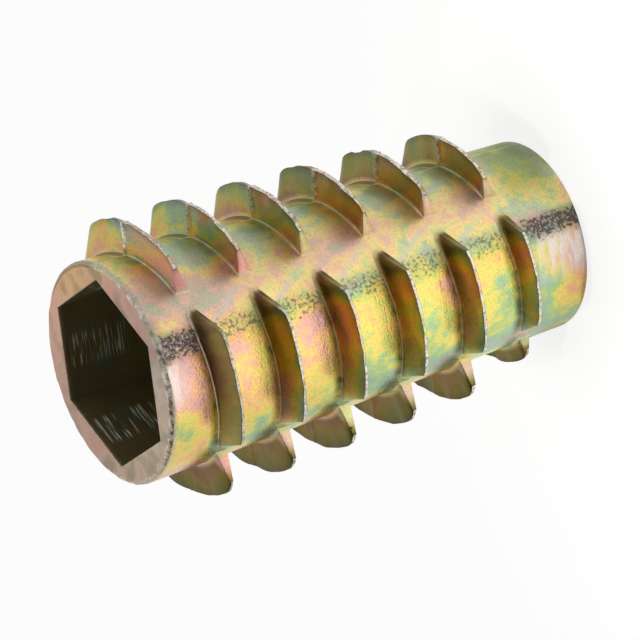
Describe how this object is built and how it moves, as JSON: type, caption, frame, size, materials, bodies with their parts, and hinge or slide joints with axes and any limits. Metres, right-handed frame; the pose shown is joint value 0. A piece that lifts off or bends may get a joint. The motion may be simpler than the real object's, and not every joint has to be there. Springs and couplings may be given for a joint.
{
  "type": "threaded insert",
  "caption": "Tapered die-cast sleeve with interrupted wood-thread teeth outside, a hexagon drive socket in the head and a machine-thread bore through the rest.",
  "frame": {"origin": "centre of the entering end's face, on the insert's axis, at the bottom of the standing insert", "axes": "+Z along the axis towards the head with the drive socket; +X the way the two die halves open, square to two flats of the socket; +Y across the parting plane, through two corners of the socket"},
  "size_m": [0.0139, 0.0141, 0.0241],
  "materials": {
    "zinc": "die-cast zinc alloy, yellow iridescent chromate plated"
  },
  "bodies": {
    "root": {"insert": "zinc"}
  },
  "joints": []
}
